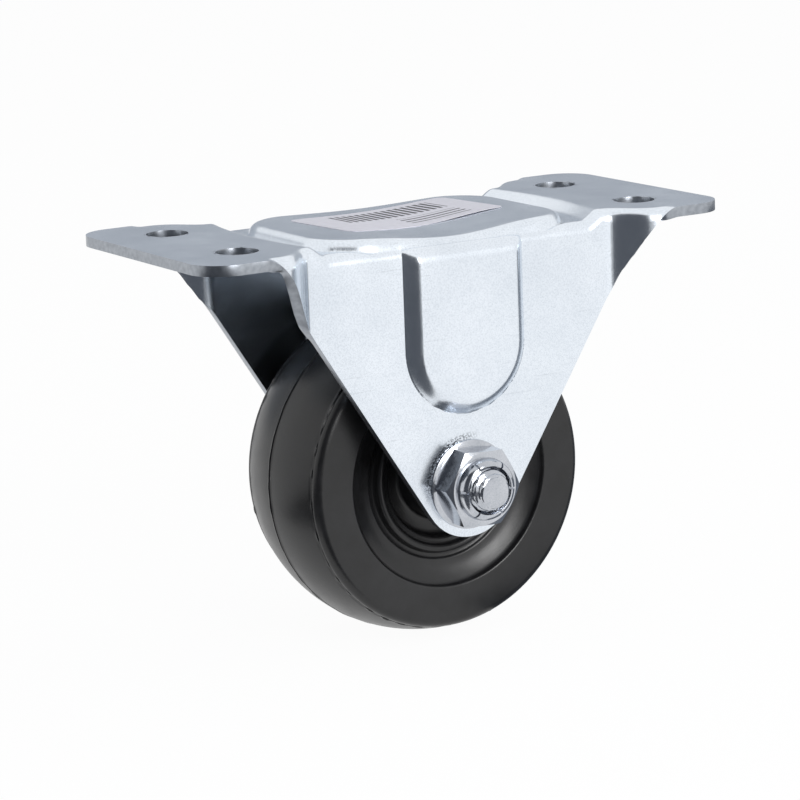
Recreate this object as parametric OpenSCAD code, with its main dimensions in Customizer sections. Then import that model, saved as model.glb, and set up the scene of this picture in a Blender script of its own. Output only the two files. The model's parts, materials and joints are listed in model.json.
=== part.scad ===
// Rigid plate caster: a fork and its mounting plate pressed from one sheet,
// with a one-piece hard rubber wheel that turns on a sleeve round a bolt.
// The origin is the middle of the bolt holes, on the plane of the two end
// tabs that bolts to the furniture. X runs along the plate, Y along the axle
// with the nut on the -Y side, and the wheel hangs below in -Z.

/* [Mounting plate] */
// Length of the plate over its two end tabs
plate_l = 136.4; // [130:0.2:160]
// Width of the plate across the end tabs
plate_w = 64.4; // [60:0.2:72]
// Thickness of the steel sheet
sheet_t = 2.4; // [1.6:0.1:2.6]
// Distance between the bolt holes along the plate
bolt_x = 105; // [100:0.5:110]
// Distance between the bolt holes across the plate
bolt_y = 33; // [28:0.5:38]
// Diameter of the four bolt holes
bolt_hole_d = 9.6; // [5:0.1:11]
// Corner radius of the end tabs
tab_corner_r = 8; // [5:0.5:10]

/* [Crown and valley] */
// How deep the valley round the crown lies below the end tabs
valley_depth = 2.2; // [1:0.1:3]
// Length of the raised crown at its foot
crown_l = 66.8; // [58:0.2:68]
// Corner radius of the crown at its foot
crown_corner_r = 13; // [8:0.5:16]
// Width of the sloping wall round the crown
crown_wall = 2.8; // [2:0.1:4]
// How far the crown stays below the end tabs
crown_relief = 0.1; // [0:0.05:0.6]
// How far the crown sags half way along
crown_sag = 1.1; // [0:0.1:1.6]
// Length of the slope from the valley up to each end tab
step_l = 4.6; // [3:0.2:6]

/* [Fork legs] */
// Height of the plate's mounting plane above the axle
axle_drop = 58.4; // [54:0.2:80]
// Width of the fork over both legs
fork_w = 49.46; // [44:0.2:54]
// Outer radius of the fold between plate and leg
fold_r = 2.9; // [2.8:0.1:4]
// Angle of each slanting leg edge from the vertical
leg_angle = 32.5; // [30:0.5:34]
// Radius of the rounded tip of each leg
tip_r = 12.2; // [11:0.1:15]
// Distance from the middle at which the legs start to flare out
flare_x = 40; // [37:0.5:42]
// Depth below the tabs at which the flare has died away
flare_depth = 18; // [14:0.5:20]
// Length along the plate in which the flare reaches the tab's full width
flare_run = 8.5; // [7:0.5:10]
// Length in which the leg's cut edge comes up level with the tab
edge_run = 15; // [13:0.5:16]

/* [Stiffening pads] */
// Width of the pad pressed out of each leg
pad_w = 31.4; // [24:0.2:34]
// How far each pad stands out of its leg
pad_h = 2.7; // [1.5:0.1:3.5]
// Width of the sloping wall round a pad
pad_wall = 2.4; // [1.5:0.1:3]
// Height of the centre of a pad's round end above the axle
pad_rise = 32.2; // [28:0.2:36]

/* [Wheel] */
// Diameter of the wheel at the middle of its tread
wheel_d = 76.2; // [66:0.2:84]
// Width of the wheel over its two side faces
wheel_w = 32.8; // [28:0.2:38]
// How much the tread's radius falls away to each shoulder
tread_crown = 2.75; // [1:0.05:4]
// Width of the round shoulder beside the tread
shoulder_w = 2.2; // [1:0.1:4]
// How far the shoulder comes in from the tread's edge to the side face
shoulder_in = 2.0; // [1:0.1:4]
// Radius of the lip of the recess in each side face
recess_r = 25.6; // [24.6:0.1:28]
// Depth of the groove just inside that lip
recess_depth = 2.9; // [1.5:0.1:4]
// Radius of the step where the web ends
web_r = 19.6; // [19:0.1:21]
// Outer radius of the raised bead round the hub well
bead_r = 17.8; // [17:0.1:18.4]
// Outer radius of the hub well
well_r = 14.6; // [13.5:0.1:15]
// Depth of the hub well below the side face
well_depth = 6; // [4:0.5:9]
// Diameter of the hub's boss
hub_d = 20; // [18:0.5:24]

/* [Axle] */
// Diameter of the axle bolt
bolt_d = 10; // [9:0.1:10.8]
// Outer diameter of the sleeve that the wheel turns on
sleeve_d = 12.7; // [12.2:0.1:14]
// Radial running clearance between the sleeve and the wheel's bore
run_clear = 0.05; // [0.01:0.01:0.1]
// Radial clearance of the bolt in the sleeve and in the legs
bolt_clear = 0.2; // [0.1:0.05:0.4]
// Gap between each end of the hub and its leg
side_gap = 0.5; // [0.3:0.1:1]
// How far the bolt stands out beyond the near leg
bolt_reach = 10.9; // [9.8:0.1:13]
// Height of the bolt's head
head_h = 6.4; // [5:0.1:8]
// Width across the flats of the bolt's head and of the nut
hex_af = 17; // [16:0.1:18]

/* [Lock nut] */
// Height of the nut's hexagon over its washer face
nut_hex_h = 5.6; // [4.5:0.1:6]
// Radius of the nut's round washer face
nut_face_r = 10.6; // [9.9:0.1:11]
// Thickness of the nut's washer face
nut_face_t = 0.8; // [0.5:0.1:1.2]
// Radius of the collar that carries the locking fingers
collar_r = 7.1; // [6.6:0.1:7.6]
// Height of the nut over its bent fingers
nut_h = 8.8; // [8.2:0.1:9.5]
// Width of the slits between the fingers
slit_w = 0.5; // [0.3:0.1:0.8]

/* [Hidden] */
$fn = 96;

eps = 0.01;
over = 1;
thread_clear = 0.04;
// How the hexagons are turned, seen from the nut's side
hex_turn = -3;
chamfer_angle = 30;
// How far the hollow of a pad is narrower than its outer form, where in the fold the
// pad begins, and the height in which it reaches its full depth
pad_skin = 1.3;
pad_start = 0.3;
pad_blend = 5;
pad_blend_steps = 5;
// How the wheel's mouldings rise, sink and lean
wall_lean = 1.0;
web_flat = 1.0;
web_rise = 0.95;
slot_depth = 0.6;
slot_lean = 0.4;
bead_round = 0.95;
bead_rise = 1.35;
hub_lean = 0.5;
// Chamfer of the bolt's end, and how the nut's fingers bend in and clear the thread
end_chamfer = 1.3;
finger_in = 1.4;
finger_h = 1.3;
finger_clear = 0.9;
leg_y = fork_w / 2;
fork_gap = fork_w - 2 * sheet_t;
fold_y = leg_y - fold_r;
tab_y = plate_w / 2;
end_x = plate_l / 2;
crease_angle = 41;
crown_hw = fold_y + fold_r * sin(crease_angle);
crown_hl = crown_l / 2;
tan_x = tip_r * cos(leg_angle);
v_foot = tip_r / cos(leg_angle);

// The flare reaches the tab's full width here. The cut edge leaves its straight
// line steeper than it was, and comes level with the tab.
flare_end = flare_x + flare_run;
edge_leave = flare_x;
edge_level = flare_x + edge_run;
edge_lift = 1.5;
arc_steps = 6;
wall_steps = 2;
across = [0, 0.4, 0.62, 0.76, 0.87, 0.94, 1];

zinc = [0.76, 0.79, 0.82];
black_rubber = [0.09, 0.09, 0.095];

function clamp01(t) = max(0, min(1, t));
function smooth(t) = let(u = clamp01(t)) u * u * (3 - 2 * u);
function mix(a, b, t) = a + (b - a) * t;

// A curve from a to b that leaves with slope sa and arrives level, over length l
function ease(a, b, sa, l, t) =
    a * (1 - 3 * t * t + 2 * t * t * t) + b * (3 * t * t - 2 * t * t * t) + sa * l * (t - 2 * t * t + t * t * t);

// Distance inside a rounded rectangle of half length hl, half width hw and corner radius r
function inside(x, y, hl, hw, r) =
    let(qx = abs(x) - hl + r, qy = abs(y) - hw + r)
    r - min(max(qx, qy), 0) - norm([max(qx, 0), max(qy, 0)]);

// Height of the sheet without its crown: the valley, and the slopes up to the tabs
function ground(x, y) =
    let(foot = crown_hl * 0.995 + 3 * (1 - pow(y / leg_y, 2)))
    -valley_depth * (1 - smooth((abs(x) - foot) / step_l));

// How far the crown lifts the sheet there
function crown(x, y) =
    let(t = clamp01(inside(x, y, crown_hl, crown_hw, crown_corner_r) / crown_wall),
        sag = crown_sag * pow(max(0, 1 - pow(x / (crown_hl * 0.72), 2)), 2))
    (valley_depth - crown_relief - sag) * (1 - pow(1 - t, 2.2));

// How far the fold moves outwards along the flare, and how the flare dies away downwards
function flare(x) = (tab_y - leg_y) * (1 - pow(1 - clamp01((x - flare_x) / (flare_end - flare_x)), 2));
function fade(z) = 1 - pow(1 - clamp01((z + flare_depth) / flare_depth), 2);

// The slanting cut edge of a leg, and its outer face
function v_edge(x) = -axle_drop + (x - v_foot) / tan(leg_angle);
function leg_face(x, z) = leg_y + flare(x) * fade(z);

// Where the sheet's outer face is cut, as [y, z], at distance x from the middle
function cut(x) =
    x <= tan_x ? [leg_y, -axle_drop - sqrt(max(0, tip_r * tip_r - x * x))]
    : x <= edge_leave ? [leg_face(x, v_edge(x)), v_edge(x)]
    : x <= edge_level ? let(
        l = edge_level - edge_leave,
        z = ease(v_edge(edge_leave), 0, edge_lift / tan(leg_angle), l, (x - edge_leave) / l))
        [leg_face(x, z), z]
    : let(d = max(0, x - end_x + tab_corner_r))
        [tab_y - tab_corner_r + sqrt(max(0, tab_corner_r * tab_corner_r - d * d)), 0];

// Half a section of the sheet's outer face, from the middle out to its cut edge:
// flat across the plate, round the fold, and straight down the leg. The points
// past the fold line are set out by the length of sheet between them.
function half_section(x) =
    let(ax = abs(x),
        e = cut(ax),
        drop = ground(ax, fold_y + flare(ax)) - e[1],
        reach = drop < fold_r ? sqrt(max(0, drop * (2 * fold_r - drop))) : fold_r,
        yb = min(fold_y + flare(ax), e[0] * 0.92, e[0] - reach),
        zb = ground(ax, yb),
        k = e[1] < -flare_depth ? [leg_y, -flare_depth] : e,
        run = k - [yb, zb],
        r = min(fold_r, 0.97 * run * run / max(eps, -2 * run[1])),
        v = run + [0, r],
        turn = max(0, atan2(v[0], v[1]) - acos(min(1, r / norm(v)))),
        arc_l = r * turn * PI / 180,
        foot = [yb + r * sin(turn), zb - r * (1 - cos(turn))],
        wall_l = norm(k - foot),
        all_l = arc_l + wall_l + norm(e - k),
        bend_l = max(arc_l, min(1.4, 0.6 * all_l)),
        lengths = concat(
            [for (i = [1 : arc_steps]) bend_l * i / arc_steps],
            [for (i = [1 : wall_steps]) mix(bend_l, all_l, i / wall_steps)]))
    concat(
        [for (f = across) [yb * f, ground(ax, yb * f) + crown(ax, yb * f)]],
        [for (s = lengths) let(
            a = min(s, arc_l) / r * 180 / PI,
            p = [yb + r * sin(a), zb - r * (1 - cos(a))],
            q = s <= arc_l ? p
                : s <= arc_l + wall_l ? mix(foot, k, (s - arc_l) / wall_l)
                : mix(k, e, (s - arc_l - wall_l) / norm(e - k)))
            [q[0], q[1] + crown(ax, q[0])]]);

function station(a, b, n) = [for (i = [1 : n]) mix(a, b, i / n)];
stations = concat(
    [0],
    [for (i = [1 : 4]) tip_r * cos(leg_angle) * sin(90 * i / 4) ],
    station(tan_x, crown_hl - crown_corner_r, 2),
    [for (i = [1 : 5]) crown_hl - crown_corner_r * (1 - sin(90 * i / 5))],
    station(crown_hl, flare_x, 5),
    station(flare_x, edge_level, 7),
    [end_x - tab_corner_r],
    [for (i = [1 : 4]) end_x - tab_corner_r * (1 - sin(90 * i / 4))]);
columns = concat([for (i = [len(stations) - 1 : -1 : 1]) -stations[i]], stations);

function full_section(x) =
    let(h = half_section(x), n = len(h))
    concat(
        [for (i = [n - 1 : -1 : 1]) [x, -h[i][0], h[i][1]]],
        [for (i = [0 : n - 1]) [x, h[i][0], h[i][1]]]);

outer_skin = [for (x = columns) full_section(x)];
rows = len(columns);
cols = len(outer_skin[0]);

// Outward normal of the skin at one of its points, from its neighbours
function skin_normal(i, j) =
    let(du = outer_skin[min(i + 1, rows - 1)][j] - outer_skin[max(i - 1, 0)][j],
        dv = outer_skin[i][min(j + 1, cols - 1)] - outer_skin[i][max(j - 1, 0)],
        n = cross(du, dv),
        flat = i == 0 || i == rows - 1 ? [0, n[1], n[2]] : n)
    flat / norm(flat);

// The sheet: the outer skin and the same skin one thickness further in
module sheet() {
    total = rows * cols;
    points = concat(
        [for (i = [0 : rows - 1]) for (j = [0 : cols - 1]) outer_skin[i][j]],
        [for (i = [0 : rows - 1]) for (j = [0 : cols - 1]) outer_skin[i][j] - sheet_t * skin_normal(i, j)]);
    faces = concat(
        [for (i = [0 : rows - 2]) for (j = [0 : cols - 2]) let(a = i * cols + j) each [
            [a, a + cols, a + cols + 1], [a, a + cols + 1, a + 1],
            [total + a, total + a + cols + 1, total + a + cols], [total + a, total + a + 1, total + a + cols + 1]]],
        [for (i = [0 : rows - 2]) let(a = i * cols, b = i * cols + cols - 1) each [
            [a, total + a, total + a + cols], [a, total + a + cols, a + cols],
            [b, total + b + cols, total + b], [b, b + cols, total + b + cols]]],
        [for (j = [0 : cols - 2]) let(a = j, b = (rows - 1) * cols + j) each [
            [a, a + 1, total + a + 1], [a, total + a + 1, total + a],
            [b, total + b + 1, b + 1], [b, total + b, total + b + 1]]]);
    polyhedron(points = points, faces = [for (f = faces) [f[2], f[1], f[0]]], convexity = 6);
}

// Everything below that follows the axle is drawn about +Z and laid along Y here,
// with +Z towards the nut
module on_axle() {
    translate([0, 0, -axle_drop]) rotate([90, 0, 0]) children();
}

// A pad on the -Y leg, or the hollow behind it, as rings across it from its top
// down round its end. Each ring runs from one foot over the face to the other
// foot, and back inside the sheet. Its wall leans in, and it dies away upwards
// into the fold.
pad_profile = [[0, 0], [0.35, 0.5], [0.62, 0.82], [0.95, 0.97], [1.35, 1]];
pad_turns = 12;

// How far the fold's outer face lies inside the leg's face at height z
function bend_gap(z) =
    let(up = max(0, z + valley_depth + fold_r))
    fold_r - sqrt(max(0, fold_r * fold_r - up * up));

module pad_form(narrower, y) {
    n = len(pad_profile);
    centre_z = pad_rise - axle_drop;
    top_z = -valley_depth - pad_start * fold_r - narrower;
    half = pad_w / 2 - narrower;
    fades = [for (i = [0 : pad_blend_steps]) i / pad_blend_steps];
    levels = concat(
        [for (t = fades) top_z - t * pad_blend],
        [for (i = [0 : pad_turns - 1]) centre_z - eps]);
    turn = concat([for (t = fades) 0], [for (i = [0 : pad_turns - 1]) 90 * i / pad_turns]);
    rise = concat([for (t = fades) smooth(t)], [for (i = [1 : pad_turns]) 1]);
    sides = [for (i = [0 : len(levels) - 1]) concat(
        [[half * cos(turn[i]), y + over + bend_gap(levels[i]), levels[i] - half * sin(turn[i])]],
        [for (q = pad_profile) let(r = half - q[0] * pad_wall)
            [r * cos(turn[i]), y + bend_gap(levels[i]) - q[1] * pad_h * rise[i], levels[i] - r * sin(turn[i])]])];
    m = len(sides);
    ring = 2 * (n + 1);
    rim = [for (s = sides) each concat(s, [for (j = [n : -1 : 0]) [-s[j][0], s[j][1], s[j][2]]])];
    tip = [for (j = [0 : n]) let(q = j == 0 ? [0, 0] : pad_profile[j - 1])
        [0, j == 0 ? y + over : y - q[1] * pad_h, centre_z - half + q[0] * pad_wall]];
    last = (m - 1) * ring;
    polyhedron(
        points = concat(rim, tip),
        faces = concat(
            [[for (j = [0 : ring - 1]) j]],
            [for (i = [0 : m - 2]) for (j = [0 : ring - 1]) let(
                a = i * ring + j,
                b = i * ring + (j + 1) % ring)
                [a, a + ring, b + ring, b]],
            [for (j = [0 : n - 1]) each [
                [last + j, m * ring + j, m * ring + j + 1, last + j + 1],
                [last + ring - 1 - j, last + ring - 2 - j, m * ring + j + 1, m * ring + j]]],
            [[last + n, m * ring + n, last + n + 1], [last, last + ring - 1, m * ring]]),
        convexity = 4);
}

// The fork and its plate: one pressed sheet with its holes and pads
module frame() color(zinc) difference() {
    union() {
        sheet();
        pad_form(0, -leg_y);
        mirror([0, 1, 0]) pad_form(0, -leg_y);
    }
    pad_form(pad_skin, -leg_y + sheet_t);
    mirror([0, 1, 0]) pad_form(pad_skin, -leg_y + sheet_t);
    for (x = [-1, 1], y = [-1, 1])
        translate([x * bolt_x / 2, y * bolt_y / 2, -sheet_t - over])
            cylinder(d = bolt_hole_d, h = sheet_t + 2 * over);
    on_axle() cylinder(r = bolt_d / 2 + bolt_clear, h = fork_w + 2 * over, center = true);
}

// A soft step from point p to point q, level at both ends
function step_curve(p, q, n) = [for (i = [0 : n]) [mix(p[0], q[0], i / n), mix(p[1], q[1], smooth(i / n))]];

// An arc about c from angle a to angle b
function arc(c, r, a, b, n) = [for (i = [0 : n]) c + r * [cos(mix(a, b, i / n)), sin(mix(a, b, i / n))]];

// One side of the wheel's outline as [r, y], from the tread's middle to the bore:
// the tread and its shoulder, the lip and wall of the recess, the groove and the
// web that rises behind it, the slot, the bead, the hub well and the hub
function wheel_side() =
    let(r0 = wheel_d / 2,
        y1 = wheel_w / 2,
        y0 = y1 - shoulder_w,
        r1 = r0 - tread_crown,
        big = (y0 * y0 + tread_crown * tread_crown) / (2 * tread_crown),
        floor_y = y1 - recess_depth,
        well_y = y1 - well_depth,
        hub_y = fork_gap / 2 - side_gap,
        hub_r = hub_d / 2)
    concat(
        [for (i = [0 : 8]) let(y = y0 * i / 8) [r0 - big + sqrt(big * big - y * y), y]],
        [for (i = [1 : 6]) let(a = 90 * i / 6) [r1 - shoulder_in * (1 - cos(a)), y0 + shoulder_w * sin(a)]],
        step_curve([recess_r, y1], [recess_r - wall_lean, floor_y], 5),
        step_curve([recess_r - wall_lean - 0.1, floor_y], [web_r + web_flat, floor_y + web_rise], 5),
        [[web_r, floor_y + web_rise - 0.2], [web_r - slot_lean, floor_y - slot_depth],
         [bead_r + slot_lean, floor_y - slot_depth]],
        arc([bead_r - bead_round, floor_y + bead_rise - bead_round], bead_round, 0, 180, 6),
        [[well_r + slot_lean, floor_y], [well_r, floor_y - slot_lean]],
        step_curve([well_r - 0.1, floor_y - slot_lean - 0.3], [well_r - wall_lean, well_y], 3),
        step_curve([hub_r + hub_lean, well_y], [hub_r - hub_lean, hub_y], 4),
        [[sleeve_d / 2 + run_clear, hub_y]]);

// The wheel: hard rubber, moulded in one piece with its hub
module wheel() color(black_rubber) on_axle() rotate_extrude($fn = 144) {
    side = wheel_side();
    n = len(side);
    polygon(concat([for (i = [n - 1 : -1 : 0]) side[i]], [for (i = [1 : n - 1]) [side[i][0], -side[i][1]]]));
}

// The sleeve that the bolt clamps between the legs, and that the wheel turns on
module axle_sleeve() color(zinc) on_axle() difference() {
    cylinder(d = sleeve_d, h = fork_gap, center = true);
    cylinder(r = bolt_d / 2 + bolt_clear, h = fork_gap + 2 * over, center = true);
}

// A hexagon with chamfered corners, as forged heads and nuts have
module chamfered_hex(af, h) {
    top_r = 0.95 * af / 2;
    clear_r = af;
    intersection() {
        rotate([0, 0, 30 + hex_turn]) cylinder(d = af / cos(30), h = h, $fn = 6);
        rotate_extrude() polygon([[0, -over], [clear_r, -over], [clear_r, h - (clear_r - top_r) * tan(chamfer_angle)],
            [top_r - over / tan(chamfer_angle), h + over], [0, h + over]]);
    }
}

// The bolt: its head on the far leg, its threaded end out of the nut
module axle_bolt() color(zinc) on_axle() {
    tip = leg_y + bolt_reach;
    translate([0, 0, -leg_y]) rotate([180, 0, 0]) chamfered_hex(hex_af, head_h);
    rotate_extrude() polygon([[0, -leg_y - 1], [bolt_d / 2, -leg_y - 1], [bolt_d / 2, tip - end_chamfer],
        [bolt_d / 2 - end_chamfer, tip], [0, tip]]);
}

// The nut: a washer face, a hexagon, and a collar cut into six fingers bent in on the bolt
module lock_nut() color(zinc) on_axle() translate([0, 0, leg_y]) {
    bore = bolt_d / 2 + thread_clear;
    top = nut_face_t + nut_hex_h;
    difference() {
        union() {
            cylinder(r = nut_face_r, h = nut_face_t);
            chamfered_hex(hex_af, top);
            rotate_extrude() polygon(concat(
                [[0, top - 1], [collar_r, top - 1]],
                arc([collar_r - finger_in, nut_h - finger_in], finger_in, 0, 90, 4),
                [[0, nut_h]]));
        }
        translate([0, 0, -over]) cylinder(r = bore, h = nut_h + 2 * over);
        translate([0, 0, nut_h - 2 * finger_h]) cylinder(r = bore + finger_clear, h = nut_h);
        for (i = [0 : 2]) rotate([0, 0, 60 * i + hex_turn])
            translate([-collar_r - over, -slit_w / 2, nut_h - finger_h])
                cube([2 * (collar_r + over), slit_w, finger_h + over]);
    }
}

frame();
wheel();
axle_sleeve();
axle_bolt();
lock_nut();
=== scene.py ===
import json
import math
import random

import bmesh
import bpy
import numpy as np
from mathutils import Matrix, Vector


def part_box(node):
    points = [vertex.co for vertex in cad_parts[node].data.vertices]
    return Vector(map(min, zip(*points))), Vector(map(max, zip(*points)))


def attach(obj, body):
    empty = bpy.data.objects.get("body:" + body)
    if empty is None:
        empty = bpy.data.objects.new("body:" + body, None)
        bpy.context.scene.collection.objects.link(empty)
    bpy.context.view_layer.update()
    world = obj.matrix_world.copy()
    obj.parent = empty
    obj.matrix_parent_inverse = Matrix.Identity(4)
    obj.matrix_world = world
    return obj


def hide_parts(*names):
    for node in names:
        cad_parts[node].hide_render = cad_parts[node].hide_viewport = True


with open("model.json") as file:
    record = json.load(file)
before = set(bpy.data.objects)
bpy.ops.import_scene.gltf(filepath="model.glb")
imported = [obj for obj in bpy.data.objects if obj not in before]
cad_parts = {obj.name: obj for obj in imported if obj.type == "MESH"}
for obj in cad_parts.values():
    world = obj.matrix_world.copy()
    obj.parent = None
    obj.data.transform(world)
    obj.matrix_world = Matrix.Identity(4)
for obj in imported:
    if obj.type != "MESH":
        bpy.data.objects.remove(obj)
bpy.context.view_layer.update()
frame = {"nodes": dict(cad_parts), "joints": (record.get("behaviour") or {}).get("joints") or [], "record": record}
random.seed(7)

# The part is drawn in millimetres and scaled to metres as each piece is finished.
# Its origin is the middle of the bolt holes, on the plane of the two end tabs.
mm = 0.001
frameLow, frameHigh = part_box("frame")
wheelLow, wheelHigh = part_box("wheel")
boltLow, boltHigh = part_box("axle_bolt")
nutLow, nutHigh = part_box("lock_nut")
sleeveLow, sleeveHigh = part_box("axle_sleeve")
axleZ = frame["joints"][0]["pos_m"][2] / mm


# Helpers for the mesh work
def deselectAll():
    bpy.ops.object.select_all(action="DESELECT")


def makeActive(obj):
    if bpy.context.object and bpy.context.object.mode != "OBJECT":
        bpy.ops.object.mode_set(mode="OBJECT")
    deselectAll()
    obj.select_set(True)
    bpy.context.view_layer.objects.active = obj


def editMode(obj, level="VERT"):
    makeActive(obj)
    bpy.ops.object.mode_set(mode="EDIT")
    bpy.ops.mesh.select_mode(type=level)
    bpy.ops.mesh.select_all(action="DESELECT")
    return bmesh.from_edit_mesh(obj.data)


def objectMode():
    bpy.ops.object.mode_set(mode="OBJECT")


def addModifier(obj, kind, **settings):
    makeActive(obj)
    bpy.ops.object.modifier_add(type=kind)
    modifier = obj.modifiers[-1]
    for key, value in settings.items():
        setattr(modifier, key, value)
    bpy.ops.object.modifier_apply(modifier=modifier.name)


def finishPiece(obj, materials, angle=35):
    # From millimetres to metres, with the place in the mesh
    obj.data.transform(Matrix.Diagonal((mm, mm, mm, 1)))
    slots = [face.material_index for face in obj.data.polygons]
    obj.data.materials.clear()
    for material in materials:
        obj.data.materials.append(material)
    obj.data.polygons.foreach_set("material_index", [min(i, len(materials) - 1) for i in slots])
    makeActive(obj)
    bpy.ops.object.shade_smooth_by_angle(angle=math.radians(angle))
    return obj


def ontoAxle(obj):
    # A turned piece is drawn about Z with the nut's side up, and laid along the axle here
    obj.data.transform(Matrix.Translation((0, 0, axleZ)) @ Matrix.Rotation(math.radians(90), 4, "X"))


def clamp(t):
    return max(0.0, min(1.0, t))


def smooth(t):
    t = clamp(t)
    return t * t * (3 - 2 * t)


def mix(a, b, t):
    return a + (b - a) * t


# The frame, pressed from a flat grid
sheetForm = dict(
    thickness=2.4,
    cornerRadius=8.0,
    valleyDepth=2.2,
    crownLength=66.8,
    crownCorner=13.0,
    crownWall=2.8,
    crownRelief=0.1,
    crownFoot=0.4,
    crownFootWidth=0.55,
    crownSag=1.1,
    sagLean=0.6,
    stepLength=4.6,
    forkWidth=49.46,
    foldRadius=2.9,
    legAngle=32.5,
    tipRadius=12.2,
    flareStart=40.0,
    flareRun=7.5,
    creaseSoft=9.0,
    flareDepth=21.0,
    edgeRun=14.0,
    edgeLift=1.5,
    creaseAngle=41.0,
    boltHole=9.6,
    axleHole=10.4,
    rollOver=0.45,
)
padForm = dict(width=31.4, height=2.7, wall=3.5, rise=32.2, start=0.0, blend=4.0)
# How far each band of rows and columns reaches, and how many it has
rowBands = [(12, 10), (17, 12), (30, 11), (35, 13), (40, 10), (48, 16), (56, 12)]
cornerRows = 12
flatColumns = 20
bendColumns = 14
legColumns = 62

endX = frameHigh.x / mm
tabY = frameHigh.y / mm
legY = sheetForm["forkWidth"] / 2
foldY = legY - sheetForm["foldRadius"]
crownHalfL = sheetForm["crownLength"] / 2
crownHalfW = foldY + sheetForm["foldRadius"] * math.sin(math.radians(sheetForm["creaseAngle"]))
tanLeg = math.tan(math.radians(sheetForm["legAngle"]))
cosLeg = math.cos(math.radians(sheetForm["legAngle"]))
tipX = sheetForm["tipRadius"] * cosLeg
vFoot = sheetForm["tipRadius"] / cosLeg
edgeLeave = sheetForm["flareStart"]
edgeLevel = edgeLeave + sheetForm["edgeRun"]


def insideRounded(x, y, halfL, halfW, radius):
    qx = abs(x) - halfL + radius
    qy = abs(y) - halfW + radius
    return radius - min(max(qx, qy), 0) - math.hypot(max(qx, 0), max(qy, 0))


def groundHeight(x, y):
    foot = crownHalfL * 0.995 + 3 * (1 - (y / legY) ** 2)
    return -sheetForm["valleyDepth"] * (1 - smooth((abs(x) - foot) / sheetForm["stepLength"]))


def crownHeight(x, y):
    inset = insideRounded(x, y, crownHalfL, crownHalfW, sheetForm["crownCorner"])
    t = clamp(inset / sheetForm["crownWall"])
    # The crown sags half way along, and more towards the nut's side
    depth = sheetForm["crownSag"] - sheetForm["sagLean"] * y / crownHalfW
    sag = depth * max(0, 1 - (x / (crownHalfL * 0.72)) ** 2) ** 2
    foot = sheetForm["crownFoot"] * math.exp(-(inset / sheetForm["crownFootWidth"]) ** 2)
    return (sheetForm["valleyDepth"] - sheetForm["crownRelief"] - sag) * (1 - (1 - t) ** 2.2) - foot


def easeOut(t):
    return 1 - (1 - clamp(t)) ** 2


def flareOut(x):
    # The crease where the flare starts is softened over a few millimetres
    turn = 0
    for i, weight in enumerate((1, 2, 3, 4, 3, 2, 1)):
        step = sheetForm["creaseSoft"] * (i / 6 - 0.5)
        turn += weight / 16 * easeOut((x + step - sheetForm["flareStart"]) / sheetForm["flareRun"])
    return (tabY - legY) * turn


def flareFade(z):
    return easeOut((z + sheetForm["flareDepth"]) / sheetForm["flareDepth"])


def legEdge(x):
    return axleZ + (x - vFoot) / tanLeg


def cutPoint(x):
    # Where the sheet's outer face ends, x being the distance from the middle
    if x <= tipX:
        return legY, axleZ - math.sqrt(max(0, sheetForm["tipRadius"] ** 2 - x * x))
    if x <= edgeLeave:
        return legY + flareOut(x) * flareFade(legEdge(x)), legEdge(x)
    if x <= edgeLevel:
        t = (x - edgeLeave) / (edgeLevel - edgeLeave)
        slope = sheetForm["edgeLift"] / tanLeg
        z = legEdge(edgeLeave) * (1 - 3 * t * t + 2 * t ** 3) + slope * sheetForm["edgeRun"] * (t - 2 * t * t + t ** 3)
        return legY + flareOut(x) * flareFade(z), z
    r = sheetForm["cornerRadius"]
    d = max(0, x - endX + r)
    return tabY - r + math.sqrt(max(0, r * r - d * d)), 0


def sectionOf(x):
    # The outer face's section: where the flat ends, the bend's radius and angle, and the wall
    endY, endZ = cutPoint(x)
    r = sheetForm["foldRadius"]
    drop = groundHeight(x, foldY + flareOut(x)) - endZ
    reach = math.sqrt(max(0, drop * (2 * r - drop))) if drop < r else r
    flatY = min(foldY + flareOut(x), endY * 0.92, endY - reach)
    flatZ = groundHeight(x, flatY)
    kneeY, kneeZ = (legY, -sheetForm["flareDepth"]) if endZ < -sheetForm["flareDepth"] else (endY, endZ)
    runY = kneeY - flatY
    runZ = kneeZ - flatZ
    r = min(r, 0.97 * (runY ** 2 + runZ ** 2) / max(0.01, -2 * runZ))
    turn = max(0, math.atan2(runY, runZ + r) - math.acos(min(1, r / math.hypot(runY, runZ + r))))
    footY = flatY + r * math.sin(turn)
    footZ = flatZ - r * (1 - math.cos(turn))
    wall = math.hypot(kneeY - footY, kneeZ - footZ)
    below = math.hypot(endY - kneeY, endZ - kneeZ)
    return dict(flatY=flatY, flatZ=flatZ, r=r, turn=turn, foot=(footY, footZ), wall=wall,
                knee=(kneeY, kneeZ), below=below, end=(endY, endZ), bend=r * turn)


def padOut(x, z):
    # How far the stiffening pad stands out of the leg at that place
    centreZ = axleZ + padForm["rise"]
    half = padForm["width"] / 2
    topZ = -sheetForm["valleyDepth"] - padForm["start"] * sheetForm["foldRadius"]
    if z > topZ or abs(x) > half:
        return 0
    inset = half - (abs(x) if z > centreZ else math.hypot(x, z - centreZ))
    t = clamp(inset / padForm["wall"])
    # At its top the pad is carried out through the fold, which turns there on a wider round
    fade = easeOut((topZ - z) / padForm["blend"])
    return padForm["height"] * (1 - (1 - t) ** 1.7) * fade


def rowPlace(g, rows):
    # From a grid coordinate between 0 and 1 to a distance along the plate
    step = g * (rows + cornerRows)
    start = 0
    for reach, count in rowBands + [(endX - sheetForm["cornerRadius"], 3)]:
        if step <= count:
            return mix(start, reach, step / count)
        step -= count
        start = reach
    return endX - sheetForm["cornerRadius"] * (1 - math.sin(math.radians(90 * clamp(step / cornerRows))))


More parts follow.
